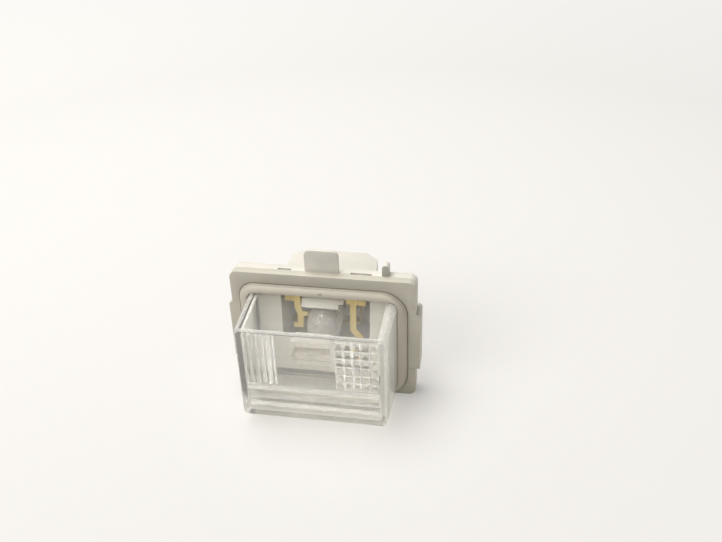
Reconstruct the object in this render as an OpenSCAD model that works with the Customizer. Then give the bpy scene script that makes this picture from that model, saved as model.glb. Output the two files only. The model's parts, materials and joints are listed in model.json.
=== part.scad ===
// Number plate lamp: a clear box lens with moulded prisms in a clip-on front frame,
// over a rear housing that carries a wedge base bulb on two stamped contact strips.
// X is across the lamp, Y runs into the vehicle, Z is up. The origin is the centre
// of the front frame's flat face, and the lens stands out towards -Y.

/* [Front frame] */
// Width of the front frame, without its side ears
flange_w = 55; // [52:0.5:60]
// Height of the front frame
flange_h = 40.6; // [40:0.5:46]
// Corner radius of the front frame
flange_r = 2.3; // [1.5:0.1:3.5]
// Thickness of the front frame's plate
plate_t = 2.6; // [2.4:0.1:3.4]
// Depth from the front face to the rear edge of the housing's rim
flange_d = 5.6; // [5.2:0.1:7]
// Height of the ears on the short sides
ear_h = 19.8; // [14:0.5:24]
// Height of the middle of the ears above the middle of the frame
ear_z = -0.5; // [-3:0.1:3]
// Thickness of the ears
ear_t = 1.15; // [0.9:0.05:1.6]
// Reach of the hook at the rear end of each ear
ear_hook = 0.75; // [0.4:0.05:1]
// Thickness of the hook at the rear end of each ear
hook_t = 0.8; // [0.6:0.1:1.4]

/* [Seal collar] */
// Distance from each short side of the frame to the collar
margin_side = 2.6; // [2.2:0.1:3.2]
// Distance from the top of the frame to the collar
margin_top = 3.65; // [3:0.05:4.2]
// Distance from the bottom of the frame to the collar
margin_bottom = 0.9; // [0.6:0.05:1.4]
// Height that the collar stands proud of the frame
collar_proud = 2.0; // [1:0.1:3]
// Outer corner radii of the collar: top left, top right, bottom right, bottom left
collar_r = [4.6, 7.8, 6.6, 6];
// Rounding of the collar's two front edges
collar_round = 0.45; // [0.2:0.05:0.5]
// Width of the collar beside the lens
band_side = 2.8; // [2.4:0.1:3.2]
// Width of the collar above the lens
band_top = 2.45; // [2:0.05:2.8]
// Width of the collar below the lens
band_bottom = 1.2; // [1:0.05:1.5]
// Depth of the groove in the frame that holds the collar's root
groove_d = 0.6; // [0.3:0.1:0.8]
// Width of the collar's root
root_w = 0.6; // [0.4:0.05:0.8]
// Gap between the collar's root and the groove's outer edge
groove_gap = 0.25; // [0.1:0.05:0.4]

/* [Lens] */
// Distance that the lens stands out in front of the frame
lens_reach = 18.9; // [14:0.1:24]
// Thickness of the lens walls
lens_wall = 1.8; // [1.6:0.1:2.4]
// Radius of the lens's four long edges at the base
lens_r = 2.2; // [1.6:0.1:3]
// Rounding of the edge around the lens's front face
lens_edge = 0.9; // [0.4:0.1:1.2]
// Draft of the lens walls, as a slope
lens_draft = 0.04; // [0.02:0.01:0.06]
// Width of the lip that holds the lens behind the frame, on the sides and the top
lip_w = 1.7; // [1.2:0.1:1.9]
// Width of the lip below the lens
lip_low = 0.7; // [0.5:0.1:0.8]
// Thickness of the lip
lip_t = 1.4; // [1:0.1:1.6]

/* [Lens prisms] */
// Height that the prisms stand off the inside of the front wall
prism_d = 0.85; // [0.5:0.05:1.2]
// Height of the field of long ribs low on the front wall
rib_field = 9; // [6:0.5:10]
// Number of long ribs
rib_count = 3; // [2:1:3]
// Share of the left field's width that the upright flutes take
flute_share = 0.72; // [0.5:0.01:1]
// Number of upright flutes on the left
flute_count = 5; // [3:1:7]
// Number of pillow columns in the field on the right
pillow_cols = 5; // [3:1:5]
// Number of pillow rows
pillow_rows = 6; // [3:1:6]
// Gap between a field of prisms and the lens's side, top and bottom walls
field_gap = 1.2; // [0.8:0.1:2]
// Width of the clear block that spreads the bulb's light, at the front wall
block_w = 11.2; // [9:0.1:12]
// Height of the clear block
block_h = 5.4; // [4:0.1:6]
// Distance that the clear block stands off the front wall
block_d = 4; // [2.5:0.1:5]
// Taper of the clear block over that distance, on each side
block_taper = 0.75; // [0.4:0.05:1]
// Distance from the lens's ceiling to the clear block
block_drop = 2.3; // [1.5:0.1:3]

/* [Rear housing] */
// Wall thickness of the rear housing
wall = 1.3; // [1:0.1:1.6]
// Thickness of the web behind the lens
web_t = 1.2; // [1:0.1:1.8]
// Width of the bulb chamber inside, at the web
chamber_w = 26.8; // [25:0.2:28]
// Amount by which each side of the chamber leans in towards the back
chamber_lean = 1.3; // [0.8:0.1:2]
// Distance from the lens's top to the chamber's ceiling
ceiling_drop = 0.5; // [0.2:0.1:1.2]
// Depth of the chamber's floor below the middle of the frame
chamber_bottom = 7.2; // [6.8:0.1:9]
// Distance from the front face to the back of the housing
housing_back = 23.3; // [22.9:0.1:26]
// Size of the chamfers on the two rear corners
rear_chamfer = 3.7; // [2:0.1:4.2]
// Distance from the lens's top to the light window's top edge
window_drop = 2.8; // [2.4:0.1:3.2]
// Depth of the light window's bottom edge below the middle of the frame
window_bottom = 5.6; // [4:0.1:6.5]
// Width of the brow over the light window
brow_w = 12.2; // [10:0.1:13]
// Distance that the brow hangs below the window's top edge
brow_drop = 1.8; // [1.2:0.1:2.2]
// Width of the step at the brow's lower right corner
brow_step = 1.4; // [0.8:0.1:2]
// Place of the brow's front, from the frame's front face
brow_y = 0; // [-1:0.1:1]
// Width of the fixing lug on the top edge
lug_w = 10; // [8:0.5:13]
// Place of the lug's middle across the lamp
lug_x = -0.4; // [-2:0.1:2]
// Height of the lug above the frame
lug_h = 6.9; // [4:0.1:9]
// Thickness of the lug
lug_t = 1.1; // [0.9:0.05:1.4]
// Corner radius of the lug
lug_r = 1.8; // [1:0.1:2.5]
// Width of the coding rib on the top edge
key_w = 2; // [1.5:0.1:2.5]
// Distance from the frame's right side to the coding rib's middle
key_inset = 9.25; // [7:0.05:11]
// Height of the coding rib above the frame
key_h = 3.3; // [2:0.1:5]
// Place of the two rim slots across the lamp, each from left to right
slots = [[-13.5, -9.5], [8, 14.3]];
// Width of the rim slots, front to back
slot_w = 0.75; // [0.6:0.05:1]
// Depth of the rim slots below the frame's top edge
slot_h = 1.2; // [0.8:0.1:1.6]
// Thickness of the stiffening ribs behind the web
brace_t = 1.2; // [0.8:0.1:1.6]
// Distance from the chamber's side to the upright ribs
brace_inset = 3; // [2:0.1:4]
// Distance from the chamber's ceiling to the upper lying ribs
brace_drop = 2; // [1.5:0.1:3]

/* [Bulb] */
// Diameter of the bulb's glass
bulb_d = 10.2; // [9.6:0.1:10.6]
// Distance from the light window's top edge to the bulb's axis
bulb_drop = 7.9; // [7.2:0.1:8.6]
// Thickness of the bulb's glass
glass_t = 0.6; // [0.4:0.05:0.8]
// Distance from the bulb's seat to the tip of its dome
bulb_l = 26; // [24.5:0.1:26.4]
// Width of the wedge base
wedge_w = 9.4; // [9:0.1:9.6]
// Thickness of the wedge base
wedge_t = 2.5; // [2.2:0.1:2.7]
// Length of the wedge base
wedge_l = 7; // [6:0.1:7.5]
// Gap between the wedge base's cheeks and the contact strips beside them
strip_gap = 0.6; // [0.4:0.1:1]
// Diameter of the lead-in wires
wire_d = 0.5; // [0.4:0.05:0.6]
// Distance between the lead-in wires
wire_gap = 5; // [4.4:0.1:5.6]
// Distance from the bulb's seat to the filament
filament_y = 19.4; // [17.5:0.1:20.5]
// Turns of the filament coil
filament_turns = 9; // [6:1:12]
// Diameter of the filament coil
filament_d = 1.1; // [0.9:0.05:1.4]
// Bow of the filament towards the tip of the bulb
filament_sag = 1.1; // [0.6:0.1:1.4]
// Diameter of the filament's own wire
filament_wire = 0.24; // [0.2:0.01:0.28]

/* [Contacts and connector] */
// Thickness of the stamped contact strips
strip_t = 0.5; // [0.4:0.05:0.6]
// Distance from the window's top edge to the top of the strips
strip_drop = 0.6; // [0.4:0.1:1]
// Width of the upright legs of the contact strips
leg_w = 1.7; // [1.4:0.1:2.2]
// Distance from the chamber's side wall to the middle of each leg
leg_inset = 5; // [4.6:0.1:5.8]
// Height of the bar that joins the top of each leg
bar_h = 1.3; // [1:0.1:1.5]
// Width of a connector blade
blade_w = 2.8; // [2.4:0.1:3]
// Distance from the socket's mouth to the blades' tips
blade_back = 2; // [1:0.1:3]
// Distance between the two connector blades
blade_pitch = 5.4; // [5.2:0.1:5.8]
// Depth of the connector socket
socket_d = 9.6; // [8:0.1:11]
// Inside height of the connector socket
socket_h = 11; // [10:0.1:12]
// Inside width of the connector socket, front to back
socket_w = 6.4; // [5.4:0.1:6.8]
// Wall thickness of the connector shroud
shroud_t = 1.2; // [1:0.1:1.5]
// Length of the catch for the plug's latch, and its distance from the socket's mouth
catch_l = 1.6; // [1.2:0.1:2.4]
// Width of the catch
catch_w = 4; // [3:0.5:5]
// Height of the catch
catch_h = 0.9; // [0.6:0.1:1.2]

/* [Fits] */
// Clearance between mouldings that slide into each other
fit = 0.15; // [0.1:0.01:0.2]
// Thickness of the flat gasket behind the lens
gasket_t = 0.6; // [0.5:0.05:0.9]

/* [Hidden] */

$fn = 48;
// Segments in each rounded corner of a lofted outline
corner_n = 7;
// Small overlap that keeps unions and cuts clean
eps = 0.02;

// Sizes that follow the front frame's
collar_w = flange_w - 2 * margin_side;
collar_top = flange_h / 2 - margin_top;
collar_bottom = flange_h / 2 - margin_bottom;
lens_w = collar_w - 2 * band_side;
lens_top = collar_top - band_top;
lens_bottom = collar_bottom - band_bottom;
window_top = lens_top - window_drop;
chamber_top = lens_top - ceiling_drop;
bulb_z = window_top - bulb_drop;
key_x = flange_w / 2 - key_inset;
leg_x = chamber_w / 2 - leg_inset;
// Outer face of each contact strip's arm
strip_x = leg_x + leg_w / 2;

// Places along Y
rim_y = plate_t + fit;
lip_y = plate_t - lip_t;
web_y = plate_t + gasket_t;
chamber_end = housing_back - wall;
bulb_seat = chamber_end - fit;
wedge_end = bulb_seat - wire_d;
bulb_tip = bulb_seat - bulb_l;
// Length over which the glass tapers into the wedge base
shoulder_l = 0.8;
// Where the glass starts to narrow, in front of the wedge base
neck_l = 1.5;
// Play round the lead-in wires
wire_play = 0.1;
// Contact leaves: width and place along the wedge base, distance from the bulb's axis, and tip
leaf_w = 2.4;
leaf_y = wedge_end - 1.5 * leaf_w;
leaf_z = wedge_t / 2 + wire_d + wire_play + strip_t / 2;
leaf_tip = wire_gap / 2 - 0.6;
// Height of the contact arms' lower edge above the bulb's axis
arm_rise = 2;
inside_front = -lens_reach + lens_wall;

// How far the connector socket sits forward of the housing's middle depth, and below the bulb's axis
socket_forward = 0.6;
socket_drop = 3.6;
// Middle of the connector socket, and the plane of the chamber's wall behind it
socket_x = -chamber_w / 2 + chamber_lean / 2;
socket_mid_y = (flange_d + housing_back) / 2 - socket_forward;
socket_z = bulb_z - socket_drop;

// Root of each ear in the frame's plate
ear_root = 0.4;
// Depth of a prism field's foot in the front wall
prism_foot = 0.3;

// Outlines as [left, right, bottom, top]
flange_box = [-flange_w / 2, flange_w / 2, -flange_h / 2, flange_h / 2];
collar_box = [-collar_w / 2, collar_w / 2, -collar_bottom, collar_top];
lens_box = [-lens_w / 2, lens_w / 2, -lens_bottom, lens_top];
lip_box = [lens_box[0] - lip_w, lens_box[1] + lip_w, lens_box[2] - lip_low, lens_box[3] + lip_w];

flange_radii = [flange_r, flange_r, flange_r, flange_r];
lens_radii = [lens_r, lens_r, lens_r, lens_r];

function grow(box, d) = [box[0] - d, box[1] + d, box[2] - d, box[3] + d];
function add(list, d) = [for (v = list) v + d];

// Points of a rounded rectangle, with a radius for each corner from top left, clockwise
function outline(box, radii, n = corner_n) =
    let (centres = [[box[0] + radii[0], box[3] - radii[0]],
                    [box[1] - radii[1], box[3] - radii[1]],
                    [box[1] - radii[2], box[2] + radii[2]],
                    [box[0] + radii[3], box[2] + radii[3]]])
    [for (c = [0:3]) for (i = [0:n])
        let (a = 180 - 90 * c - 90 * i / n)
        [centres[c][0] + radii[c] * cos(a), centres[c][1] + radii[c] * sin(a)]];

function at_depth(points, y) = [for (p = points) [p[0], y, p[1]]];

// Triangles between ring i and ring j, where each ring has m points
function wrap(i, j, m) = [for (k = [0:m - 1]) let (next = (k + 1) % m)
    each [[i * m + k, j * m + k, j * m + next], [i * m + k, j * m + next, i * m + next]]];

// A closed body through a list of rings, from the first to the last along -Y
module loft(rings) {
    m = len(rings[0]);
    n = len(rings);
    polyhedron(points = [for (r = rings) each r],
        faces = concat([[for (k = [m - 1:-1:0]) k]],
            [for (i = [0:n - 2]) each wrap(i + 1, i, m)],
            [[for (k = [0:m - 1]) (n - 1) * m + k]]));
}

// A closed ring through a list of loops that come back to the first
module band(rings) {
    m = len(rings[0]);
    n = len(rings);
    polyhedron(points = [for (r = rings) each r],
        faces = [for (i = [0:n - 1]) each wrap((i + 1) % n, i, m)]);
}

// The same outline with true round corners, drawn in X and Z and extruded along +Y from y0 to y1
module slab(box, radii, y0, y1) {
    translate([0, y1, 0]) rotate([90, 0, 0]) linear_extrude(y1 - y0) {
        polygon([[box[0] + radii[0], box[3]], [box[1] - radii[1], box[3]],
                 [box[1], box[3] - radii[1]], [box[1], box[2] + radii[2]],
                 [box[1] - radii[2], box[2]], [box[0] + radii[3], box[2]],
                 [box[0], box[2] + radii[3]], [box[0], box[3] - radii[0]]]);
        translate([box[0] + radii[0], box[3] - radii[0]]) circle(radii[0]);
        translate([box[1] - radii[1], box[3] - radii[1]]) circle(radii[1]);
        translate([box[1] - radii[2], box[2] + radii[2]]) circle(radii[2]);
        translate([box[0] + radii[3], box[2] + radii[3]]) circle(radii[3]);
    }
}

// A box between two corners
module between(a, b) {
    translate(a) cube(b - a);
}

module mirrored() {
    children();
    mirror([1, 0, 0]) children();
}

// Front frame with the spring ears that hold the housing
module bezel() {
    ear_end = flange_d + fit + hook_t;
    color([0.76, 0.75, 0.70]) {
        difference() {
            slab(flange_box, flange_radii, 0, plate_t);
            slab(grow(lens_box, fit), add(lens_radii, fit), -1, plate_t + 1);
            slab(grow(lip_box, fit), add(lens_radii, fit), lip_y - fit, plate_t + 1);
            collar_groove();
        }
        mirrored() difference() {
            union() {
                between([flange_w / 2 - ear_root, 0, ear_z - ear_h / 2],
                        [flange_w / 2 + ear_t, plate_t, ear_z + ear_h / 2]);
                between([flange_w / 2, 0, ear_z - ear_h / 2],
                        [flange_w / 2 + ear_t, ear_end, ear_z + ear_h / 2]);
                between([flange_w / 2 - ear_hook, flange_d + fit, ear_z - ear_h / 3],
                        [flange_w / 2 + ear_t, ear_end, ear_z + ear_h / 3]);
            }
            // The upper front corner of each ear is rounded off
            translate([flange_w / 2 + ear_t, -1, ear_z + ear_h / 2]) rotate([0, 45, 0])
                cube([ear_t, 2 * ear_end + 2, ear_t], center = true);
        }
    }
}

// Groove in the frame round the collar's root
module collar_groove() {
    inset = root_w + fit / 2;
    difference() {
        slab(grow(collar_box, groove_gap), add(collar_r, groove_gap), -1, groove_d);
        slab(grow(collar_box, -inset), add(collar_r, -inset), -2, groove_d + 1);
    }
}

// Soft collar round the foot of the lens, with a root that sits in the frame's groove
module seal_collar() {
    inner = grow(lens_box, fit);
    inner_r = add(lens_radii, fit);
    root_y = groove_d - fit / 3;
    rim = 4;
    color([0.80, 0.78, 0.71]) band([
        at_depth(outline(inner, inner_r), 0),
        at_depth(outline(inner, inner_r), -collar_proud + collar_round),
        for (i = [0:rim]) let (a = 90 * i / rim, d = collar_round * (1 - cos(a)))
            at_depth(outline(grow(inner, d), add(inner_r, d)),
                     -collar_proud + collar_round * (1 - sin(a))),
        for (i = [0:rim]) let (a = 90 * i / rim, d = collar_round * (sin(a) - 1))
            at_depth(outline(grow(collar_box, d), add(collar_r, d)),
                     -collar_proud + collar_round * (1 - cos(a))),
        at_depth(outline(collar_box, collar_r), root_y),
        at_depth(outline(grow(collar_box, -root_w), add(collar_r, -root_w)), root_y),
        at_depth(outline(grow(collar_box, -root_w), add(collar_r, -root_w)), 0)]);
}

// Depth of the lens wall's draft at a distance in front of the frame
function drafted(y) = lens_draft * min(0, y);

// Profile of repeated round ridges, each pitch wide and h high, standing on a foot below y = 0
module ridges(pitch, count, h) {
    steps = 6;
    valley = 0.08;
    polygon(concat([[0, -prism_foot]],
        [for (k = [0:count - 1]) for (i = [0:steps])
            if (k == 0 || i > 0) [pitch * (k + i / steps), valley + h * sin(180 * i / steps)]],
        [[pitch * count, -prism_foot]]));
}

// Saw-tooth profile of prisms, each with a steep and a flat flank
module prisms(pitch, count, h) {
    valley = 0.1;
    steep = 0.3;
    polygon(concat([[0, -prism_foot]],
        [for (k = [0:count - 1]) each [[pitch * k, valley], [pitch * (k + steep), h]]],
        [[pitch * count, valley], [pitch * count, -prism_foot]]));
}

// Prisms moulded on the inside of the lens's front wall
module lens_optics() {
    side = lens_w / 2 - lens_wall - field_gap;
    ceiling = lens_top - lens_wall;
    low = -lens_bottom + lens_wall + field_gap;
    field_z = low + rib_field + field_gap / 2;
    field_h = ceiling - field_gap - field_z;
    field_w = side - block_w / 2 - field_gap;
    pillow_w = field_w / pillow_cols;
    pillow_h = field_h / pillow_rows;
    // Long ribs across the lower part
    translate([-side, inside_front, low]) rotate([90, 0, 90]) linear_extrude(2 * side)
        rotate(90) mirror([0, 1]) prisms(rib_field / rib_count, rib_count, prism_d);
    // Upright flutes on the left
    translate([-side, inside_front, field_z]) linear_extrude(field_h)
        ridges(field_w * flute_share / flute_count, flute_count, prism_d);
    // A field of pillows on the right, where two sets of ridges cross
    intersection() {
        translate([side - field_w, inside_front, field_z]) linear_extrude(field_h)
            ridges(pillow_w, pillow_cols, prism_d);
        translate([side - field_w, inside_front, field_z]) rotate([90, 0, 90]) linear_extrude(field_w)
            rotate(90) mirror([0, 1]) ridges(pillow_h, pillow_rows, prism_d);
    }
    light_block(ceiling - block_drop);
}

// Clear block on the inside of the front wall, tapered inwards, with two ledges under it
module light_block(top) {
    foot = block_w / 2;
    low = top - block_h;
    ledge = block_h / 6;
    // The end of the block, as half its width, bottom and top
    end = foot - block_taper;
    end_low = top - block_h / 2 - ledge;
    end_top = top - block_taper / 2;
    loft([at_depth([[-end, end_low], [-end, end_top], [end, end_top], [end, end_low]],
                   inside_front + block_d),
          at_depth([[-foot, low], [-foot, top], [foot, top], [foot, low]], inside_front - eps)]);
    between([-foot + ledge, inside_front - eps, low - ledge],
            [foot, inside_front + prism_d, low + ledge]);
    between([-foot + 2 * ledge, inside_front - eps, low - 3 * ledge],
            [foot, inside_front + prism_d / 2, low - ledge / 2]);
}

// Clear lens: a drafted box with a lip at its foot, as one skin from the inside of the front wall
// over the foot to the outside
module lens() {
    rim = 4;
    inner = grow(lens_box, -lens_wall);
    inner_r = add(lens_radii, -lens_wall + 1);
    tip = drafted(inside_front);
    color([0.9, 0.92, 0.9, 0.35]) {
        loft([at_depth(outline(grow(inner, tip), add(inner_r, tip)), inside_front),
              at_depth(outline(inner, inner_r), 0),
              at_depth(outline(inner, inner_r), plate_t),
              at_depth(outline(lip_box, lens_radii), plate_t),
              at_depth(outline(lip_box, lens_radii), lip_y),
              at_depth(outline(lens_box, lens_radii), lip_y),
              at_depth(outline(lens_box, lens_radii), 0),
              for (i = [rim:-1:0])
                  let (a = 90 * i / rim,
                       y = -lens_reach + lens_edge * (1 - cos(a)),
                       d = drafted(y) + lens_edge * (sin(a) - 1))
                  at_depth(outline(grow(lens_box, d), add(lens_radii, d)), y)]);
        lens_optics();
    }
}

// Flat gasket between the lens's lip and the housing's web
module lens_gasket() {
    outer_gap = 0.1;
    inner_gap = 0.4;
    corner_cut = 0.8;
    outer = grow(lip_box, -outer_gap);
    inner = grow(lens_box, -lens_wall + inner_gap);
    inner_r = add(lens_radii, -corner_cut);
    color([0.2, 0.2, 0.2]) band([
        at_depth(outline(inner, inner_r), web_y),
        at_depth(outline(inner, inner_r), plate_t),
        at_depth(outline(outer, lens_radii), plate_t),
        at_depth(outline(outer, lens_radii), web_y)]);
}

// Plan of the bulb chamber, grown by d, from the web to the back
module chamber_plan(d, front, back) {
    w = chamber_w / 2 + d;
    rear_w = w - chamber_lean;
    c = rear_chamfer;
    polygon([[-w, front], [w, front], [rear_w, back - c], [rear_w - c, back],
             [c - rear_w, back], [-rear_w, back - c]]);
}

// Cheeks that hold the wedge base at the back of the chamber, each with a gap for a contact leaf
module wedge_seat() {
    cheek_x = strip_x - strip_t - strip_gap;
    cheek_t = 1.2;
    w = wedge_w / 2 + fit;
    t = wedge_t / 2 + fit;
    h = t + cheek_t;
    // The cheeks reach over the edges of the base
    grip = w - 1.1;
    front = bulb_seat - wedge_l + shoulder_l + fit;
    for (s = [-1, 1]) translate([0, 0, bulb_z]) difference() {
        between([min(s * grip, s * cheek_x), front, -h], [max(s * grip, s * cheek_x), chamber_end + eps, h]);
        between([-w, front - 1, -t], [w, wedge_end + fit, t]);
        between([-cheek_x - 1, leaf_y - fit, -s * leaf_z - strip_t / 2 - fit - (s > 0 ? h : 0)],
                [cheek_x + 1, leaf_y + leaf_w + fit, -s * leaf_z + strip_t / 2 + fit + (s > 0 ? 0 : h)]);
    }
}

// The rim that meets the frame, and the web behind the lens
module rim_and_web() {
    plate = grow(flange_box, -fit);
    inner_corner = 0.6;
    slab(plate, flange_radii, web_y, web_y + web_t);
    difference() {
        slab(plate, flange_radii, rim_y, flange_d);
        slab(grow(plate, -wall), add(flange_radii, -inner_corner), rim_y - 1, flange_d + 1);
        rim_slots();
    }
}

module rear_housing() {
    chamber_h = chamber_top + chamber_bottom;
    color([0.88, 0.87, 0.83]) {
        difference() {
            union() {
                rim_and_web();
                // Bulb chamber
                translate([0, 0, -chamber_bottom - wall]) linear_extrude(chamber_h + 2 * wall)
                    chamber_plan(wall, web_y + eps, housing_back);
                braces();
                lug();
                coding_rib();
                translate([0, 0, socket_z]) connector_shroud(socket_x, socket_mid_y);
            }
            translate([0, 0, -chamber_bottom]) linear_extrude(chamber_h)
                chamber_plan(0, web_y + web_t, chamber_end);
            // Light window in the web
            between([-chamber_w / 2, web_y - 1, -window_bottom],
                    [chamber_w / 2, web_y + web_t + eps, window_top]);
            translate([0, 0, socket_z]) connector_cavity(socket_x, socket_mid_y);
        }
        wedge_seat();
        window_brow();
    }
}

// Slots in the rim that show the joint between frame and housing
module rim_slots() {
    for (s = slots)
        between([s[0], rim_y - 1, flange_h / 2 - slot_h], [s[1], rim_y + slot_w, flange_h / 2 + 1]);
}

// Ribs that stiffen the web from behind, out to the rim
module braces() {
    root_y = web_y + web_t - eps;
    far_x = flange_w / 2 - fit - wall / 2;
    far_z = flange_h / 2 - fit - wall / 2;
    x = chamber_w / 2 - brace_inset;
    mirrored() for (z = [-chamber_bottom - wall / 2, chamber_top - brace_drop]) {
        between([chamber_w / 2 - 1, root_y, z - brace_t / 2], [far_x, flange_d, z + brace_t / 2]);
    }
    mirrored() between([x, root_y, chamber_top], [x + brace_t, flange_d, far_z]);
    mirrored() between([x, root_y, -far_z], [x + brace_t, flange_d, -chamber_bottom]);
}

// Fixing lug that stands up from the rim
module lug() {
    top = flange_h / 2 + lug_h;
    translate([lug_x, rim_y + fit + lug_t, 0]) rotate([90, 0, 0]) linear_extrude(lug_t) {
        translate([-lug_w / 2, flange_h / 2 - wall]) square([lug_w, wall + lug_h - lug_r]);
        translate([-lug_w / 2 + lug_r, flange_h / 2]) square([lug_w - 2 * lug_r, lug_h]);
        translate([-lug_w / 2 + lug_r, top - lug_r]) circle(lug_r);
        translate([lug_w / 2 - lug_r, top - lug_r]) circle(lug_r);
    }
}

// Coding rib that lets the lamp go in only one way round
module coding_rib() {
    depth = flange_d - rim_y - fit;
    translate([key_x, flange_d, 0]) rotate([90, 0, 0]) linear_extrude(depth) {
        translate([-key_w / 2, flange_h / 2 - wall]) square([key_w, wall + key_h - key_w / 2]);
        translate([0, flange_h / 2 + key_h - key_w / 2]) circle(key_w / 2);
    }
}

// Moulded brow at the top of the light window, with a step at its lower right corner
module window_brow() {
    w = brow_w / 2;
    top = lens_top - lens_wall - 2 * fit;
    low = window_top - brow_drop;
    step_x = w - brow_step;
    between([-w, brow_y, low], [step_x, web_y + web_t, top]);
    between([-w, brow_y, window_top - brow_drop / 2], [w, web_y + web_t, top]);
    between([-w, web_y, low], [w, web_y + web_t, window_top + 1]);
}

// Shroud that takes the plug, mouth towards -X
module connector_shroud(x, y) {
    h = socket_h / 2 + shroud_t;
    w = socket_w / 2 + shroud_t;
    mouth = x - socket_d;
    difference() {
        union() {
            between([mouth, y - w, -h], [x, y + w, h]);
            // Catch for the plug's latch
            between([mouth + catch_l, y - catch_w / 2, h - eps],
                    [mouth + 2 * catch_l, y + catch_w / 2, h + catch_h]);
        }
        between([mouth - 1, y - socket_w / 2, -socket_h / 2],
                [x - shroud_t, y + socket_w / 2, socket_h / 2]);
    }
}

// Cuts for the two blades through the chamber's side wall
module connector_cavity(x, y) {
    half_w = blade_w / 2 + fit;
    half_t = strip_t / 2 + fit;
    for (z = [-blade_pitch / 2, blade_pitch / 2])
        between([x - shroud_t - 1, y - half_w, z - half_t],
                [x + wall + chamber_lean + 1, y + half_w, z + half_t]);
}

// Upright leg with a joggle down to foot_z, and a toe towards the left at its foot, in the light window
module contact_leg(side, foot_shift, foot_z, toe) {
    x = side * leg_x;
    top = window_top - strip_drop;
    // The upper end of the joggle, and its height
    mid = bulb_z + 0.6;
    run = 2.4;
    translate([0, web_y + strip_t, 0]) rotate([90, 0, 0]) linear_extrude(strip_t) {
        polygon([[x - leg_w / 2, top], [x + leg_w / 2, top], [x + leg_w / 2, mid],
                 [x + leg_w / 2 + foot_shift, mid - run], [x + leg_w / 2 + foot_shift, foot_z],
                 [x - leg_w / 2 + foot_shift, foot_z], [x - leg_w / 2 + foot_shift, mid - run - leg_w / 4],
                 [x - leg_w / 2, mid - leg_w / 4]]);
        if (toe > 0) translate([x + foot_shift - leg_w / 2 - toe, foot_z]) square([toe + eps, bar_h]);
    }
}

// One strip: side is -1 for the left and 1 for the right, blade_z is the height of its connector blade
module contact_strip(side, foot_shift, foot_z, toe, blade_z) {
    x = side > 0 ? strip_x - strip_t : -strip_x;
    top = window_top - strip_drop;
    arm_low = bulb_z + arm_rise;
    bar_gap = 1.2;
    bar_end = chamber_w / 2 - bar_gap;
    leaf = bulb_z - side * leaf_z;
    blade_y = socket_mid_y - blade_w / 2;
    color([0.80, 0.70, 0.35]) {
        contact_leg(side, foot_shift, foot_z, toe);
        between([side > 0 ? leg_x - leg_w / 2 : -bar_end, web_y, top - bar_h],
                [side > 0 ? bar_end : -leg_x + leg_w / 2, web_y + strip_t, top]);
        // Arm back along the bulb
        between([x, web_y, arm_low], [x + strip_t, leaf_y + leaf_w, top - bar_h]);
        // Leaf that presses on the folded wire
        between([x, leaf_y, min(leaf - strip_t / 2, arm_low)],
                [x + strip_t, leaf_y + leaf_w, max(leaf + strip_t / 2, arm_low + eps)]);
        between([min(x, side * leaf_tip), leaf_y, leaf - strip_t / 2],
                [max(x + strip_t, side * leaf_tip), leaf_y + leaf_w, leaf + strip_t / 2]);
        // Drop to the connector blade
        between([x, blade_y, blade_z - strip_t / 2], [x + strip_t, blade_y + blade_w, top - bar_h]);
        between([socket_x - socket_d + blade_back, blade_y, blade_z - strip_t / 2],
                [x + strip_t, blade_y + blade_w, blade_z + strip_t / 2]);
    }
}

// The left strip has a short foot with a toe
module contact_left() {
    shift = 0.6;
    foot_z = bulb_z - 2.8;
    contact_strip(-1, shift, foot_z, bar_h, socket_z + blade_pitch / 2);
}

// The right strip has a wide joggle and a long foot with no toe
module contact_right() {
    shift = 2.6;
    foot_z = bulb_z - 4.2;
    contact_strip(1, shift, foot_z, 0, socket_z - blade_pitch / 2);
}

// Turned outline of the bulb, as distance along the axis from the tip and radius
module bulb_profile(r, tip, end) {
    steps = 10;
    polygon(concat([[0, tip]],
        [for (i = [1:steps]) let (a = 90 * i / steps) [r * sin(a), tip + r * (1 - cos(a))]],
        [[r, end], [0, end]]));
}

module turned_along_y() {
    translate([0, 0, bulb_z]) rotate([-90, 0, 0]) rotate_extrude() children();
}

module bulb_glass() {
    r = bulb_d / 2;
    pinch = bulb_seat - wedge_l;
    neck = pinch - neck_l;
    hollow_end = neck - 0.7;
    // The two ends of the shoulder: a disc a little inside the neck, and a slice of the wedge base
    disc_r = r - 0.05;
    slice_t = 0.2;
    color([0.92, 0.94, 0.94, 0.3]) difference() {
        union() {
            turned_along_y() bulb_profile(r, bulb_tip, neck);
            hull() {
                translate([0, neck - eps, bulb_z]) rotate([-90, 0, 0])
                    cylinder(r = disc_r, h = slice_t / 2, $fn = 32);
                between([-wedge_w / 2, pinch + shoulder_l - slice_t, bulb_z - wedge_t / 2],
                        [wedge_w / 2, pinch + shoulder_l, bulb_z + wedge_t / 2]);
            }
            between([-wedge_w / 2, pinch + shoulder_l / 2, bulb_z - wedge_t / 2],
                    [wedge_w / 2, wedge_end, bulb_z + wedge_t / 2]);
        }
        turned_along_y() bulb_profile(r - glass_t, bulb_tip + glass_t, hollow_end);
        for (s = [-1, 1]) translate([s * wire_gap / 2, pinch - 2 * neck_l, bulb_z]) rotate([-90, 0, 0])
            cylinder(d = wire_d + wire_play, h = wedge_l + 5);
    }
}

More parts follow.
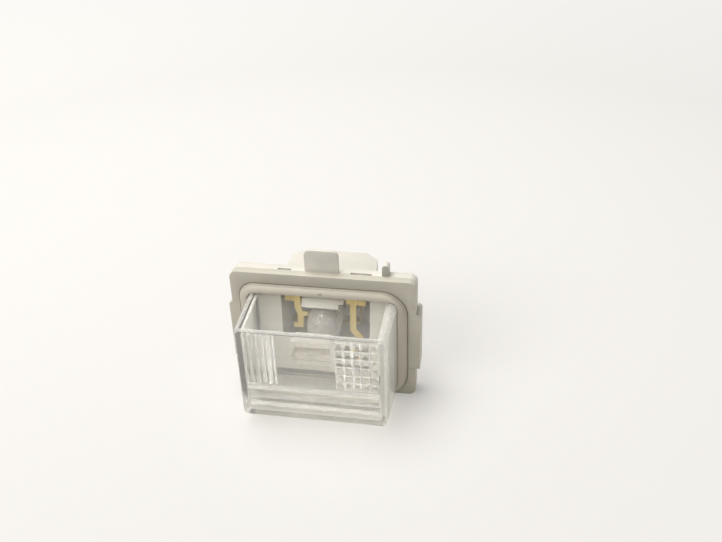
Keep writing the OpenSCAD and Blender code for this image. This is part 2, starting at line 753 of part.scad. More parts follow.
// Lead-in wire: a straight stem out through the wedge base, folded back along its face
module lead_wire(side) {
    x = side * wire_gap / 2;
    start = bulb_seat - filament_y;
    fold = wedge_t / 2 + wire_d / 2 + eps;
    turn = bulb_seat - wire_d / 2;
    tail = 4.4;
    color([0.62, 0.60, 0.56]) translate([x, 0, bulb_z]) {
        translate([0, start, 0]) rotate([-90, 0, 0]) cylinder(d = wire_d, h = bulb_seat - start);
        translate([0, turn, side > 0 ? -fold - wire_d / 2 : -wire_d / 2])
            cylinder(d = wire_d * 0.98, h = fold + wire_d);
        translate([0, bulb_seat - tail, -side * fold]) rotate([-90, 0, 0]) cylinder(d = wire_d, h = tail);
    }
}

module lead_wire_left() {
    lead_wire(-1);
}

module lead_wire_right() {
    lead_wire(1);
}

// Point of the filament's coil at u from 0 to 1, sagging a little towards the tip
function coil_point(u) =
    let (half = (wire_gap - wire_d) / 2 - 1.5 * wire_play,
         a = 360 * filament_turns * u,
         r = (filament_d - filament_wire) / 2)
    [half * (2 * u - 1), -filament_sag * sin(180 * u) + r * cos(a), r * sin(a)];

function unit(v) = v / norm(v);

// Ring of points round the path at u
function wire_ring(u, du, r, sides) =
    let (t = unit(coil_point(u + du) - coil_point(u - du)),
         n = unit(cross(t, [0.13, 0.2, 1])),
         b = cross(t, n),
         p = coil_point(u))
    [for (k = [0:sides - 1]) p + r * (cos(360 * k / sides) * n + sin(360 * k / sides) * b)];

module filament() {
    per_turn = 9;
    count = filament_turns * per_turn;
    color([0.45, 0.45, 0.45])
        translate([0, bulb_seat - filament_y - wire_play, bulb_z])
            loft([for (i = [0:count]) wire_ring(i / count, 0.2 / count, filament_wire / 2, 5)]);
}

bezel();
seal_collar();
lens();
lens_gasket();
rear_housing();
contact_left();
contact_right();
bulb_glass();
lead_wire_left();
lead_wire_right();
filament();
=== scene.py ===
"""Number plate lamp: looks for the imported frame. X is across the lamp, Y runs into the
vehicle and Z is up. The lamp stands on its frame's lower edge, with the lens towards -Y."""
import bmesh
import bpy
import json
import math
from mathutils import Matrix, Vector


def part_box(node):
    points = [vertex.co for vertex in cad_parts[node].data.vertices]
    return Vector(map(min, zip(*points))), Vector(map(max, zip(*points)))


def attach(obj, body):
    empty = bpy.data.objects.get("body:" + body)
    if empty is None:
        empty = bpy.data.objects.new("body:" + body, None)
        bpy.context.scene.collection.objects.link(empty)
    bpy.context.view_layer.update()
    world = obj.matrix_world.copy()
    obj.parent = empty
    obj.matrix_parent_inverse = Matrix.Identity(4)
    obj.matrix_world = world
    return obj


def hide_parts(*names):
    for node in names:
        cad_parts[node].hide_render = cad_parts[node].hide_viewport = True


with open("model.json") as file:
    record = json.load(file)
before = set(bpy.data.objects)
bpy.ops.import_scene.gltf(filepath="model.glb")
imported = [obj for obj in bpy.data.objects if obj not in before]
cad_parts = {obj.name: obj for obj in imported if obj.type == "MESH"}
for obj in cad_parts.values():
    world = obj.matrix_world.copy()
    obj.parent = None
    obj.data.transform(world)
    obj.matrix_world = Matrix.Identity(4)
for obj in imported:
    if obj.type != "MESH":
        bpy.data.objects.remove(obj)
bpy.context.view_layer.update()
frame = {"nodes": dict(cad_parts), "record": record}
NODES = frame["nodes"]
MM = 0.001
X, Y, Z = 0, 1, 2

# Colours of the opaque pieces, as linear values
FRAME_GREY = (0.470, 0.447, 0.375)
HOUSING_PALE = (0.600, 0.578, 0.510)
SEAL_BEIGE = (0.460, 0.424, 0.352)
GASKET_GREY = (0.600, 0.590, 0.550)
BRASS = (0.620, 0.490, 0.190)
BRASS_TARNISH = (0.520, 0.360, 0.120)
WIRE_GREY = (0.520, 0.500, 0.470)
WIRE_TARNISH = (0.350, 0.320, 0.290)
FILAMENT_GREY = (0.230, 0.230, 0.240)
FILAMENT_TARNISH = (0.100, 0.100, 0.110)

# Clear pieces: tints, the share of lamp light that passes, and colours of the milkiness
LENS_TINT = (0.985, 0.985, 0.978)
LENS_SHADE = (0.800, 0.795, 0.780)
HAZE_SHADE = (0.560, 0.555, 0.545)
LENS_CLOUD = (0.660, 0.648, 0.612)
PALE_CLOUD = (0.930, 0.915, 0.870)
EDGE_CLOUD = (0.860, 0.845, 0.805)
# The block's underside: its dark brown milk colour is a painted reflection of the dark chamber
FOOT_PAINTED_REFLECTION = (0.310, 0.285, 0.235)
LENS_IOR = 1.49
BULB_TINT = (0.990, 0.990, 0.987)
BULB_SHADE = (0.940, 0.940, 0.940)
BULB_CLOUD = (0.900, 0.870, 0.830)
BULB_IOR = 1.50

# Floor and light
FLOOR_WHITE = (0.830, 0.820, 0.800)
FLOOR_SEEN = (0.520, 0.512, 0.498)
FLOOR_GLOW = (1.000, 0.985, 0.965)
SKY_WHITE = (1.000, 0.990, 0.975)
LAMP_WHITE = (1.000, 0.985, 0.960)


def extent(node, axis):
    """Lowest and highest place of a CAD node along an axis, in millimetres."""
    low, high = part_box(node)
    return round(low[axis] / MM, 3), round(high[axis] / MM, 3)


# Sizes in millimetres, as in the part's source
FIT = 0.15
LENS_RADIUS = 2.2
LENS_EDGE = 0.9
LIP_W = 1.7
LIP_LOW = 0.7
COLLAR_RADII = (4.6, 7.8, 6.6, 6.0)
ROOT_W = 0.6
RIM_BACK = 5.6
WEB_T = 1.2
WINDOW_DROP = 2.8
BROW_HALF = 6.1
BROW_STEP = 1.4
GUSSET_T = 1.2
STRIP_T = 0.5
LEG_X = 8.4
KEY_X = 18.25
KEY_W = 2.0
SLOTS = ((-13.5, -9.5), (8.0, 14.3))
EAR_Z = (-10.4, 9.4)
OVERLAP = 0.02

# Places in millimetres, from the frame. A box is left, right, bottom and top
FRAME_LOW, FRAME_TOP = extent("bezel", Z)
COLLAR_BOX = (*extent("seal_collar", X), *extent("seal_collar", Z))
COLLAR_FRONT, ROOT_BACK = extent("seal_collar", Y)
PLATE_T, WEB_Y = extent("lens_gasket", Y)
RIM_Y = PLATE_T + FIT
WEB_BACK = WEB_Y + WEB_T
LIP_LEFT, LIP_RIGHT = extent("lens", X)
LIP_BOTTOM, LIP_TOP = extent("lens", Z)
LENS_BOX = (LIP_LEFT + LIP_W, LIP_RIGHT - LIP_W, LIP_BOTTOM + LIP_LOW, LIP_TOP - LIP_W)
WINDOW_TOP = LENS_BOX[3] - WINDOW_DROP
BULB_Z = sum(extent("bulb_glass", Z)) / 2
STRIP_TOP = extent("contact_left", Z)[1]
BAR_END = extent("contact_right", X)[1]

# Sizes in millimetres that only the looks have
# Distance under which two points are joined
MERGE = 0.002
# How far in front of a face a cut through it starts
CLEAR = 1.0
# Room round the clear block and its ledges behind the lens's front wall: half its width, bottom and top
BLOCK_ZONE = (5.7, 1.5, 11.5)
# The collar's outer edge and the rounding of its edges, and the gate mark's middle, radius, front and back
COLLAR_EDGE = 0.6
COLLAR_ROUND = 0.3
GATE_X = -0.4
GATE_Z = 15.5
GATE_R = 0.5
GATE_Y = (-1.95, -1.2)
# The low step in the frame's face at each ear: its depth, and its two ends across
EAR_STEP = 0.2
EAR_X = (25.5, 29.0)
# The rim's slots, and the frame's tongues in them: bottom, top and reach behind the rim's front
SLOT_Z = (15.5, 21.5)
SLOT_REACH = 0.95
TONGUE_HALF = 0.7
TONGUE_Z = (19.15, 19.85)
TONGUE_REACH = 0.7
# The brow over the light window, and the gussets on the chamber's roof
BROW_TOP = 12.1
BROW_REACH = 1.0
BROW_DROP = 2.0
GUSSET_X = 10.4
GUSSET_H = 1.8
GUSSET_FOOT = 14.95
# The contact strips: half a leg's width, and the heights of bar and tabs
LEG_HALF = 0.95
BAR_H = 2.4
TAB_H = 1.3

# Place and turn of the camera that match the photograph, in metres and degrees
CAMERA_PLACE = (0.0487775, -0.1988618, 0.1520801)
CAMERA_AZIMUTH = 10.5516
CAMERA_ELEVATION = 32.4735
CAMERA_ROLL = -1.8853
FOCAL_PX = 850.0
PHOTO_WIDTH_PX = 722
SENSOR_MM = 36.0


# Material tools
class Nodes:
    """Short names for building the node tree of a material or a world."""

    def __init__(self, owner):
        self.owner = owner
        self.owner.use_nodes = True
        self.tree = owner.node_tree
        self.tree.nodes.clear()

    def add(self, kind, inputs=None, **settings):
        node = self.tree.nodes.new(kind)
        for key, value in settings.items():
            setattr(node, key, value)
        for key, value in (inputs or {}).items():
            if isinstance(value, bpy.types.NodeSocket):
                self.tree.links.new(value, node.inputs[key])
            else:
                node.inputs[key].default_value = value
        return node

    def place(self):
        return self.add("ShaderNodeTexCoord").outputs["Object"]

    def noise(self, scale, detail, roughness, stretch=None):
        vector = self.place()
        if stretch:
            vector = self.add("ShaderNodeMapping", {"Vector": vector, "Scale": stretch}).outputs["Vector"]
        return self.add("ShaderNodeTexNoise", {"Vector": vector, "Scale": scale, "Detail": detail,
                                               "Roughness": roughness}).outputs["Fac"]

    def span(self, value, low, high, start=0.0, end=1.0):
        """Low where the value is at the start, and high where it is at the end."""
        return self.add("ShaderNodeMapRange", {"Value": value, "From Min": start, "From Max": end,
                                               "To Min": low, "To Max": high}).outputs["Result"]

    def math(self, kind, first, second):
        return self.add("ShaderNodeMath", {0: first, 1: second}, operation=kind).outputs[0]

    def mix(self, factor, first, second):
        """Mix two colours."""
        node = self.add("ShaderNodeMix", {"Factor": factor}, data_type="RGBA")
        for socket, value in ((node.inputs[6], first), (node.inputs[7], second)):
            if isinstance(value, bpy.types.NodeSocket):
                self.tree.links.new(value, socket)
            else:
                socket.default_value = (*value, 1.0)
        return node.outputs[2]

    def blend(self, factor, first, second):
        """Mix two shaders."""
        return self.add("ShaderNodeMixShader", {0: factor, 1: first, 2: second}).outputs[0]

    def bump(self, height, strength, distance):
        return self.add("ShaderNodeBump", {"Height": height, "Strength": strength,
                                           "Distance": distance}).outputs["Normal"]

    def edges(self, radius):
        """1 along sharp edges and 0 on flat faces."""
        flat_dot, edge_dot = 0.985, 0.86
        soft = self.add("ShaderNodeBevel", {"Radius": radius}, samples=6).outputs["Normal"]
        flat = self.add("ShaderNodeNewGeometry").outputs["Normal"]
        dot = self.add("ShaderNodeVectorMath", {0: soft, 1: flat}, operation="DOT_PRODUCT").outputs["Value"]
        return self.span(dot, 0.0, 1.0, flat_dot, edge_dot)

    def seen(self):
        """1 for rays from the camera, in gloss and through glass, and 0 for light on the object."""
        path = self.add("ShaderNodeLightPath").outputs
        direct = self.math("MAXIMUM", path["Is Camera Ray"], path["Is Glossy Ray"])
        return self.math("MAXIMUM", direct, path["Is Transmission Ray"])

    def finish(self, shader, kind="ShaderNodeOutputMaterial"):
        out = self.add(kind)
        self.tree.links.new(shader, out.inputs["Surface"])
        return self.owner


def shade(colour, factor):
    return tuple(min(1.0, channel * factor) for channel in colour)


def moulded(name, colour, roughness, grain, wear=0.10, sheen=0.0):
    """Moulded plastic or rubber: fine grain, faint flow marks and paler rubbed edges."""
    dark, pale, spotted, worn = (shade(colour, factor) for factor in (0.955, 1.03, 0.92, 1.18))
    nodes = Nodes(bpy.data.materials.new(name))
    flow = nodes.noise(scale=110.0, detail=3.0, roughness=0.6)
    spots = nodes.noise(scale=900.0, detail=3.0, roughness=0.6)
    tone = nodes.mix(nodes.span(flow, 0.0, 1.0, 0.3, 0.7), dark, pale)
    tone = nodes.mix(nodes.span(spots, 0.0, 0.35, 0.55, 0.75), tone, spotted)
    patches = nodes.span(nodes.noise(scale=700.0, detail=4.0, roughness=0.65), 0.0, 1.0, 0.35, 0.6)
    rubbed = nodes.math("MULTIPLY", nodes.edges(0.25 * MM), patches)
    tone = nodes.mix(nodes.math("MULTIPLY", rubbed, wear * 4), tone, worn)
    rough = nodes.span(spots, roughness - 0.05, roughness + 0.06, 0.3, 0.7)
    fine = nodes.noise(scale=5200.0, detail=2.0, roughness=0.55)
    height = nodes.math("ADD", nodes.math("MULTIPLY", fine, 0.6), nodes.math("MULTIPLY", spots, 0.4))
    shader = nodes.add("ShaderNodeBsdfPrincipled", {
        "Base Color": tone, "Roughness": rough, "IOR": 1.5, "Sheen Weight": sheen,
        "Normal": nodes.bump(height, grain, 0.03 * MM)}).outputs["BSDF"]
    return nodes.finish(shader)


def clear(name, tint, ior, roughness, lamp_tint, haze, milk, cloud_tone, crinkle=0.05):
    """Clear plastic or glass with some milkiness, which glows where light falls on either side.
    Rays from lamps pass straight through, tinted a little."""
    nodes = Nodes(bpy.data.materials.new(name))
    ripple = nodes.noise(scale=260.0, detail=2.0, roughness=0.5)
    film = nodes.noise(scale=1500.0, detail=4.0, roughness=0.65)
    rough = nodes.span(film, roughness, roughness + haze, 0.42, 0.72)
    normal = nodes.bump(ripple, crinkle, crinkle * MM)
    glass = nodes.add("ShaderNodeBsdfPrincipled", {
        "Base Color": (*tint, 1.0), "Roughness": rough, "IOR": ior, "Transmission Weight": 1.0,
        "Normal": normal}).outputs["BSDF"]
    cloud_look = {"Color": (*cloud_tone, 1.0), "Normal": normal}
    near = nodes.add("ShaderNodeBsdfDiffuse", cloud_look).outputs["BSDF"]
    far = nodes.add("ShaderNodeBsdfTranslucent", cloud_look).outputs["BSDF"]
    amount = nodes.span(film, 0.8 * milk, 1.2 * milk, 0.35, 0.65)
    body = nodes.blend(amount, glass, nodes.blend(0.55, near, far))
    through = nodes.add("ShaderNodeBsdfTransparent", {"Color": (*lamp_tint, 1.0)}).outputs["BSDF"]
    lamp_ray = nodes.add("ShaderNodeLightPath").outputs["Is Shadow Ray"]
    return nodes.finish(nodes.blend(lamp_ray, body, through))


def metal(name, colour, roughness, tarnish, brushed):
    """Stamped or drawn metal with draw lines and a little tarnish."""
    nodes = Nodes(bpy.data.materials.new(name))
    lines = nodes.noise(scale=1400.0, detail=3.0, roughness=0.6, stretch=brushed)
    patches = nodes.noise(scale=420.0, detail=3.0, roughness=0.6)
    tone = nodes.mix(nodes.span(patches, 0.0, 0.6, 0.45, 0.75), colour, tarnish)
    tone = nodes.mix(nodes.math("MULTIPLY", nodes.edges(0.12 * MM), 0.4), tone, shade(colour, 1.2))
    rough = nodes.span(lines, roughness - 0.06, roughness + 0.10, 0.3, 0.7)
    shader = nodes.add("ShaderNodeBsdfPrincipled", {
        "Base Color": tone, "Metallic": 1.0, "Roughness": rough,
        "Normal": nodes.bump(lines, 0.15, 0.01 * MM)}).outputs["BSDF"]
    return nodes.finish(shader)


# Stretch of the draw lines in metal: long in Z, long in Y, or even
LONG_IN_Z = (1.0, 1.0, 0.12)
LONG_IN_Y = (1.0, 0.1, 1.0)
EVEN = (1.0, 1.0, 1.0)

MATERIALS = {
    "frame_plastic": moulded("frame_plastic", FRAME_GREY, 0.46, 0.25),
    "housing_plastic": moulded("housing_plastic", HOUSING_PALE, 0.42, 0.18),
    # Housing plastic at 62% brightness: painted shade for the front of the coding key
    "painted_shade_plastic": moulded("painted_shade_plastic", shade(HOUSING_PALE, 0.62), 0.50, 0.18),
    "seal_elastomer": moulded("seal_elastomer", SEAL_BEIGE, 0.55, 0.20, wear=0.05, sheen=0.15),
    "gasket_foam": moulded("gasket_foam", GASKET_GREY, 0.80, 0.60, wear=0.02),
    "bulb_glass": clear("bulb_glass", BULB_TINT, BULB_IOR, roughness=0.004, lamp_tint=BULB_SHADE,
                        haze=0.02, milk=0.26, cloud_tone=BULB_CLOUD, crinkle=0.5),
    "contact_brass": metal("contact_brass", BRASS, 0.30, BRASS_TARNISH, LONG_IN_Z),
    "lead_wire": metal("lead_wire", WIRE_GREY, 0.34, WIRE_TARNISH, LONG_IN_Y),
    "filament_wire": metal("filament_wire", FILAMENT_GREY, 0.42, FILAMENT_TARNISH, EVEN),
}

# Materials of the lens: roughness, share of lamp light that passes, haze, milkiness and its colour
LENS_LOOKS = {
    "clear_lens": (0.010, LENS_SHADE, 0.04, 0.045, PALE_CLOUD),
    "front_lens": (0.012, LENS_SHADE, 0.05, 0.17, PALE_CLOUD),
    "hazy_lens": (0.05, HAZE_SHADE, 0.08, 0.26, LENS_CLOUD),
    "frosted_lens": (0.30, HAZE_SHADE, 0.10, 0.45, LENS_CLOUD),
    "edge_lens": (0.06, LENS_SHADE, 0.10, 0.62, EDGE_CLOUD),
    "block_lens": (0.04, LENS_SHADE, 0.10, 0.34, PALE_CLOUD),
    # block_foot is a frosted underside whose dark milk colour is a painted reflection of the chamber
    "block_foot": (0.20, LENS_SHADE, 0.10, 0.90, FOOT_PAINTED_REFLECTION),
}
for region, looks in LENS_LOOKS.items():
    MATERIALS[region] = clear(region, LENS_TINT, LENS_IOR, *looks)
SLOT_OF = {row["node"]: row["material_slot"] for row in frame["record"]["subparts"]}


def paint(piece, slot):
    piece.data.materials.clear()
    piece.data.materials.append(MATERIALS[slot])


# Shapes, with sizes in millimetres
def new_object(name, mesh):
    piece = bpy.data.objects.new(name, mesh)
    bpy.context.scene.collection.objects.link(piece)
    return piece


def prism(points, place, start, end):
    """A solid through an outline, where place turns a point and a distance into X, Y and Z."""
    work = bmesh.new()
    near = [work.verts.new(Vector(place(*point, start)) * MM) for point in points]
    far = [work.verts.new(Vector(place(*point, end)) * MM) for point in points]
    count = len(points)
    for i in range(count):
        j = (i + 1) % count
        work.faces.new((near[i], near[j], far[j], far[i]))
    work.faces.new(near)
    work.faces.new(far)
    bmesh.ops.recalc_face_normals(work, faces=work.faces)
    mesh = bpy.data.meshes.new("shape")
    work.to_mesh(mesh)
    work.free()
    return new_object("shape", mesh)


def front_prism(points, front, back):
    """A solid through an outline in X and Z, from front to back."""
    return prism(points, lambda x, z, y: (x, y, z), front, back)


def side_prism(points, left, right):
    """A solid through an outline in Y and Z, from left to right."""
    return prism(points, lambda y, z, x: (x, y, z), left, right)


def block(low, high):
    """A box between two corners."""
    points = [(low[0], low[1]), (high[0], low[1]), (high[0], high[1]), (low[0], high[1])]
    return prism(points, lambda x, y, z: (x, y, z), low[2], high[2])


def combine(piece, shape, operation):
    """Join a shape to a piece or cut it away. The shape is used up."""
    change = piece.modifiers.new(operation, "BOOLEAN")
    change.operation = operation
    change.solver = "EXACT"
    change.object = shape
    bpy.context.view_layer.update()
    result = piece.evaluated_get(bpy.context.evaluated_depsgraph_get())
    mesh = bpy.data.meshes.new_from_object(result)
    piece.modifiers.clear()
    piece.data = mesh
    bpy.data.objects.remove(shape)


def smooth(piece, angle):
    """Smooth shading that keeps edges sharper than the angle."""
    for face in piece.data.polygons:
        face.use_smooth = True
    work = bmesh.new()
    work.from_mesh(piece.data)
    for edge in work.edges:
        edge.smooth = not (len(edge.link_faces) == 2 and edge.calc_face_angle(0.0) > math.radians(angle))
    work.to_mesh(piece.data)
    work.free()


def settle(piece, node, angle=35.0):
    """Give a finished piece its looks and its body, and hide the node that it stands for."""
    smooth(piece, angle)
    paint(piece, SLOT_OF[node])
    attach(piece, "root")
    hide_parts(node)


def finished(node, rounding, cuts, joins):
    """A copy of a CAD node, cut and joined with shapes and with its edges rounded. It stands for the node."""
    flat, sharp = math.radians(0.6), math.radians(28.0)
    piece = new_object(node + "_finished", NODES[node].data.copy())
    for shape in cuts:
        combine(piece, shape, "DIFFERENCE")
    for shape in joins:
        combine(piece, shape, "UNION")
    mesh = piece.data
    mesh.name = node + "_finished"
    work = bmesh.new()
    work.from_mesh(mesh)
    bmesh.ops.remove_doubles(work, verts=work.verts, dist=MERGE * MM)
    bmesh.ops.dissolve_limit(work, angle_limit=flat, verts=work.verts, edges=work.edges, delimit={"NORMAL"})
    corners = [edge for edge in work.edges if edge.is_manifold and edge.calc_face_angle(0.0) > sharp]
    bmesh.ops.bevel(work, geom=corners, offset=rounding * MM, offset_type="OFFSET", segments=2, profile=0.5,
                    affect="EDGES", clamp_overlap=True)
    work.to_mesh(mesh)
    work.free()
    settle(piece, node)
    return piece


# Lens
def lens_region(face, low, high):
    """Name of the lens material for a face, where the lens's box runs from low to high."""
    lip_front, room = 0.5 * MM, 0.05
    edge_back, bottom_front, block_front, wall_back = (low.y + depth * MM for depth in (
        LENS_EDGE + room, 1.9, 2.0, 3.0))
    side_from, bottom_below = 0.6 * high.x, 0.5 * low.z
    tilted, steep, downward, round_low, round_high = 0.07, 0.35, -0.3, 0.2, 0.97
    block_half, block_low, block_high = (size * MM for size in BLOCK_ZONE)
    middle, normal = face.center, face.normal
    if middle.y > lip_front:
        return "clear_lens"
    in_block = abs(middle.x) < block_half and block_low < middle.z < block_high
    if in_block and middle.y > block_front:
        # Downward faces of the block get block_foot, whose dark colour is a painted reflection of the chamber
        return "block_foot" if normal.z < downward else "block_lens"
    if abs(normal.x) > tilted and abs(normal.z) > tilted:
        return "edge_lens"
    if round_low < abs(normal.y) < round_high and middle.y < edge_back:
        return "edge_lens"
    if abs(normal.x) > steep and abs(middle.x) > side_from:
        return "hazy_lens" if normal.x * middle.x > 0 else "frosted_lens"
    if abs(normal.z) > steep and middle.z < bottom_below and middle.y > bottom_front:
        return "hazy_lens" if normal.z < 0 else "frosted_lens"
    return "front_lens" if middle.y < wall_back else "clear_lens"


def finish_lens():
    """The lens with smooth shading, and with materials of their own for its walls, edges and block."""
    mesh = NODES["lens"].data.copy()
    mesh.name = "lens_finished"
    piece = new_object("lens_finished", mesh)
    work = bmesh.new()
    work.from_mesh(mesh)
    bmesh.ops.remove_doubles(work, verts=work.verts, dist=MERGE * MM)
    work.to_mesh(mesh)
    work.free()
    settle(piece, "lens", angle=32.0)
    regions = list(LENS_LOOKS)
    for region in regions[1:]:
        mesh.materials.append(MATERIALS[region])
    low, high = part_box("lens")
    for face in mesh.polygons:
        face.material_index = regions.index(lens_region(face, low, high))


# Seal collar
def outline(box, radii, steps):
    """Points of a rounded rectangle, with a radius for each corner from top left, clockwise."""
    left, right, low, high = box
    centres = ((left + radii[0], high - radii[0]), (right - radii[1], high - radii[1]),
               (right - radii[2], low + radii[2]), (left + radii[3], low + radii[3]))
    points = []
    for corner, (x, z) in enumerate(centres):
        for i in range(steps + 1):
            angle = math.pi - math.pi / 2 * (corner + i / steps)
            points.append((x + radii[corner] * math.cos(angle), z + radii[corner] * math.sin(angle)))
    return points


def grown(box, radii, by):
    left, right, low, high = box
    return (left - by, right + by, low - by, high + by), tuple(radius + by for radius in radii)


def between(first, second, share):
    return tuple(a + (b - a) * share for a, b in zip(first, second))


def gate_mark():
    """The small round mark that moulding leaves on the collar above the lens."""
    corners = 12
    points = []
    for i in range(corners):
        angle = 2 * math.pi * i / corners
        points.append((GATE_X + GATE_R * math.cos(angle), GATE_Z + GATE_R * math.sin(angle)))
    return front_prism(points, *GATE_Y)


def collar_section():
    """Steps from the collar's front inner edge round to its root: an outline, its growth and its Y."""
    inner = grown(LENS_BOX, (LENS_RADIUS,) * 4, FIT)
    outer = (COLLAR_BOX, COLLAR_RADII)
    steps, fall = 5, 2.4
    section = [(inner, 0.0, 0.0)]
    for i in range(steps + 1):
        angle = math.pi / 2 * i / steps
        section.append((inner, COLLAR_ROUND * (1 - math.cos(angle)),
                        COLLAR_FRONT + COLLAR_ROUND * (1 - math.sin(angle))))
    for i in range(1, steps):
        share = i / steps
        middle = (between(inner[0], outer[0], share), between(inner[1], outer[1], share))
        section.append((middle, 0.0, COLLAR_FRONT - (COLLAR_FRONT + COLLAR_EDGE) * share ** fall))
    for i in range(steps + 1):
        angle = math.pi / 2 * i / steps
        section.append((outer, COLLAR_ROUND * (math.sin(angle) - 1),
                        COLLAR_ROUND * (1 - math.cos(angle)) - COLLAR_EDGE))
    return section + [(outer, 0.0, ROOT_BACK), (outer, -ROOT_W, ROOT_BACK), (outer, -ROOT_W, 0.0)]


def finish_collar():
    """The seal collar: its face falls away outwards, and its root sits in the frame's groove."""
    corner_steps = 16
    work = bmesh.new()
    rings = []
    for (box, radii), growth, y in collar_section():
        points = outline(*grown(box, radii, growth), corner_steps)
        rings.append([work.verts.new((x * MM, y * MM, z * MM)) for x, z in points])
    count = len(rings[0])
    for ring, after in zip(rings, rings[1:] + rings[:1]):
        for i in range(count):
            j = (i + 1) % count
            work.faces.new((ring[i], ring[j], after[j], after[i]))
    bmesh.ops.recalc_face_normals(work, faces=work.faces)
    mesh = bpy.data.meshes.new("seal_collar_finished")
    work.to_mesh(mesh)
    work.free()
    piece = new_object("seal_collar_finished", mesh)
    combine(piece, gate_mark(), "UNION")
    settle(piece, "seal_collar")


# Front frame
def finish_frame():
    """The front frame: the ears' faces lie a step behind its own, and tongues reach into the rim's slots."""
    inner, outer = EAR_X
    low, top = EAR_Z
    cuts = []
    for left, right in ((-outer, -inner), (inner, outer)):
        cuts.append(block((left, -CLEAR, low), (right, EAR_STEP, top)))
    joins = []
    for left, right in SLOTS:
        middle = (left + right) / 2
        joins.append(block((middle - TONGUE_HALF, PLATE_T - OVERLAP, TONGUE_Z[0]),
                           (middle + TONGUE_HALF, RIM_Y + TONGUE_REACH, TONGUE_Z[1])))
    finished("bezel", rounding=0.18, cuts=cuts, joins=joins)


# Rear housing
def brow(reach, drop, right):
    """One step of the brow: a short upright lip, and above it a face that slants back and up."""
    lip, slant = 0.4, 2.3
    low = WINDOW_TOP - drop
    points = [(-reach, low), (-reach, low + lip), (slant - reach, BROW_TOP),
              (WEB_BACK, BROW_TOP), (WEB_BACK, low)]
    return side_prism(points, -BROW_HALF, right)


def gusset(left):
    """A rib up the chamber's roof, from inside the web back."""
    sunk = 0.2
    front, top = WEB_BACK - sunk, GUSSET_FOOT + GUSSET_H
    points = [(front, GUSSET_FOOT), (front, top), (RIM_BACK, top), (RIM_BACK + 2 * GUSSET_H, GUSSET_FOOT)]
    return side_prism(points, left, left + GUSSET_T)


def finish_housing():
    """The rear housing, with a slanted brow over the light window and deep slots in its rim."""
    front, low, room = -0.5, 9.0, 0.1
    old_brow = block((-BROW_HALF - room, front, low), (BROW_HALF + room, WEB_Y, BROW_TOP + room))
    cuts = [old_brow]
    for left, right in SLOTS:
        cuts.append(block((left, RIM_Y - CLEAR, SLOT_Z[0]), (right, RIM_Y + SLOT_REACH, SLOT_Z[1])))
    joins = [brow(BROW_REACH, BROW_DROP, BROW_HALF - BROW_STEP), brow(0.0, BROW_DROP / 2, BROW_HALF),
             gusset(-GUSSET_X - GUSSET_T), gusset(GUSSET_X)]
    piece = finished("rear_housing", rounding=0.16, cuts=cuts, joins=joins)
    # The coding key's front gets the darker copy of the housing plastic: painted shade, as that face lies in
    # shade
    piece.data.materials.append(MATERIALS["painted_shade_plastic"])
    for face in piece.data.polygons:
        on_key = face.center.z > (FRAME_TOP + room) * MM and abs(face.center.x - KEY_X * MM) < KEY_W * MM
        if on_key and face.normal.y < -0.5:
            face.material_index = 1


# Contact strips, whose faces are outlines in X and Z
def left_strip():
    """Left strip: a bar out to the side, a joggled leg with a toe, and a tab towards the bulb."""
    left, right, bar_low = -LEG_X - LEG_HALF, -LEG_X + LEG_HALF, STRIP_TOP - BAR_H
    bend, bend_out, joggle = BULB_Z + 3.3, 0.57, 0.8
    tab_low, foot = BULB_Z + TAB_H / 2, BULB_Z - 2.5
    low_left, low_right = left + joggle, right + joggle
    return [(-BAR_END, STRIP_TOP), (right, STRIP_TOP), (right, bend), (right + bend_out, tab_low + TAB_H),
            (low_right + TAB_H, tab_low + TAB_H), (low_right + TAB_H, tab_low), (low_right, tab_low),
            (low_right, foot), (low_left - TAB_H, foot), (low_left - TAB_H, foot + TAB_H),
            (low_left, foot + TAB_H), (low_left, bend - 2.5 * LEG_HALF), (left, bend - 0.5 * LEG_HALF),
            (left, bar_low), (-BAR_END, bar_low)]


def right_strip():
    """Right strip: a bar from the brow out to the side, and a leg with a joggle low down."""
    left, right, bar_low = LEG_X - LEG_HALF, LEG_X + LEG_HALF, STRIP_TOP - BAR_H
    bend, foot, joggle = BULB_Z - 2.0, BULB_Z - 4.7, 2.2
    bar_start = BROW_HALF + FIT
    low_left, low_right = left + joggle, right + joggle
    return [(bar_start, STRIP_TOP), (BAR_END, STRIP_TOP), (BAR_END, bar_low), (right, bar_low),
            (right, bend), (low_right, bend - 2 * LEG_HALF), (low_right, foot), (low_left, foot),
            (low_left, bend - 2.5 * LEG_HALF), (left, bend - 0.5 * LEG_HALF), (left, bar_low),
            (bar_start, bar_low)]


def finish_strip(node, points):
    """A contact strip with a new face in the light window."""
    side, low, top, room = 14.0, -6.0, 12.0, 0.2
    old_face = block((-side, WEB_Y - room, low), (side, WEB_Y + STRIP_T, top))
    new_face = front_prism(points, WEB_Y, WEB_Y + STRIP_T + OVERLAP)
    finished(node, rounding=0.06, cuts=[old_face], joins=[new_face])


for name, node_object in NODES.items():
    paint(node_object, SLOT_OF[name])
finish_lens()
finish_collar()
finish_frame()
finish_housing()
finish_strip("contact_left", left_strip())
finish_strip("contact_right", right_strip())


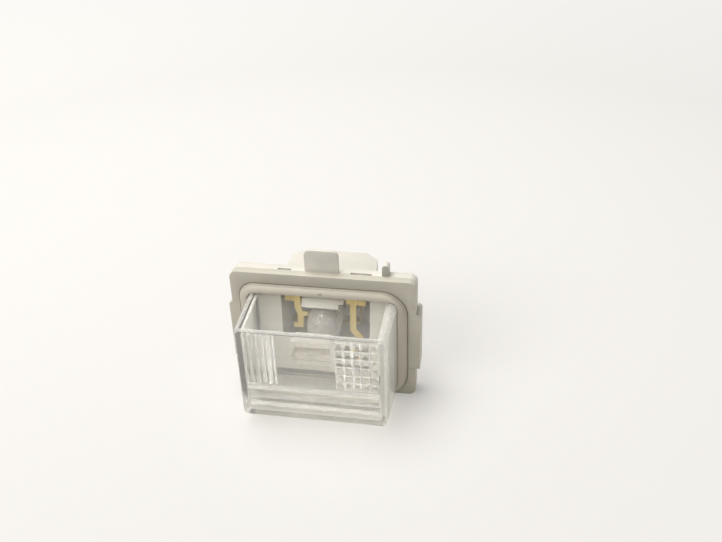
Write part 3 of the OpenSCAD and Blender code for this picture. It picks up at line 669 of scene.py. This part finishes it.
# Floor, light and camera
def floor_material():
    """Pale floor: white to the camera, to gloss and through glass, and it still takes shadows."""
    near, far, near_glow, far_glow = 0.30, 0.95, 0.27, 0.72
    nodes = Nodes(bpy.data.materials.new("floor_white"))
    seen = nodes.seen()
    wash = nodes.noise(scale=9.0, detail=2.0, roughness=0.5)
    tone = nodes.mix(seen, nodes.mix(wash, FLOOR_WHITE, shade(FLOOR_WHITE, 0.97)), FLOOR_SEEN)
    matt = nodes.add("ShaderNodeBsdfDiffuse", {"Color": tone, "Roughness": 0.6}).outputs["BSDF"]
    away = nodes.add("ShaderNodeVectorMath", {0: nodes.place()}, operation="LENGTH").outputs["Value"]
    level = nodes.math("MULTIPLY", seen, nodes.span(away, near_glow, far_glow, near, far))
    glow = nodes.add("ShaderNodeEmission", {"Color": (*FLOOR_GLOW, 1.0), "Strength": level})
    both = nodes.add("ShaderNodeAddShader", {0: matt, 1: glow.outputs["Emission"]})
    return nodes.finish(both.outputs[0])


def lay_floor():
    reach, z = 1.6, FRAME_LOW * MM
    mesh = bpy.data.meshes.new("floor")
    mesh.from_pydata([(-reach, -reach, z), (reach, -reach, z), (reach, reach, z), (-reach, reach, z)],
                     [], [(0, 1, 2, 3)])
    mesh.materials.append(floor_material())
    new_object("floor", mesh)


def set_world():
    """A plain sky that lights the object softly and looks nearly white."""
    light_level, seen_level = 0.31, 0.95
    world = bpy.data.worlds.new("studio")
    bpy.context.scene.world = world
    nodes = Nodes(world)
    strength = nodes.span(nodes.seen(), light_level, seen_level)
    sky = nodes.add("ShaderNodeBackground", {"Color": (*SKY_WHITE, 1.0), "Strength": strength}).outputs[0]
    nodes.finish(sky, "ShaderNodeOutputWorld")


def soft_light(name, place, size, watts):
    """A round soft light that points at the origin."""
    data = bpy.data.lights.new(name, "AREA")
    data.shape = "DISK"
    data.size = size
    data.energy = watts
    data.color = LAMP_WHITE
    lamp = bpy.data.objects.new(name, data)
    lamp.location = place
    lamp.rotation_mode = "QUATERNION"
    lamp.rotation_quaternion = (-Vector(place)).to_track_quat("-Z", "Y")
    bpy.context.scene.collection.objects.link(lamp)


def set_camera():
    data = bpy.data.cameras.new("camera")
    data.sensor_width = SENSOR_MM
    data.lens = FOCAL_PX / PHOTO_WIDTH_PX * SENSOR_MM
    data.clip_start = 0.01
    data.clip_end = 10.0
    camera = bpy.data.objects.new("camera", data)
    turn = (Matrix.Rotation(math.radians(CAMERA_AZIMUTH), 4, "Z")
            @ Matrix.Rotation(math.radians(90.0 - CAMERA_ELEVATION), 4, "X")
            @ Matrix.Rotation(math.radians(CAMERA_ROLL), 4, "Z"))
    camera.matrix_world = Matrix.Translation(CAMERA_PLACE) @ turn
    bpy.context.scene.collection.objects.link(camera)
    bpy.context.scene.camera = camera


lay_floor()
set_world()
soft_light("sky_panel", place=(-0.16, 0.10, 0.62), size=0.46, watts=4.6)
soft_light("front_panel", place=(-0.33, -0.40, 0.42), size=0.45, watts=1.85)
set_camera()
bpy.context.scene.view_settings.view_transform = "Standard"

bpy.context.view_layer.update()
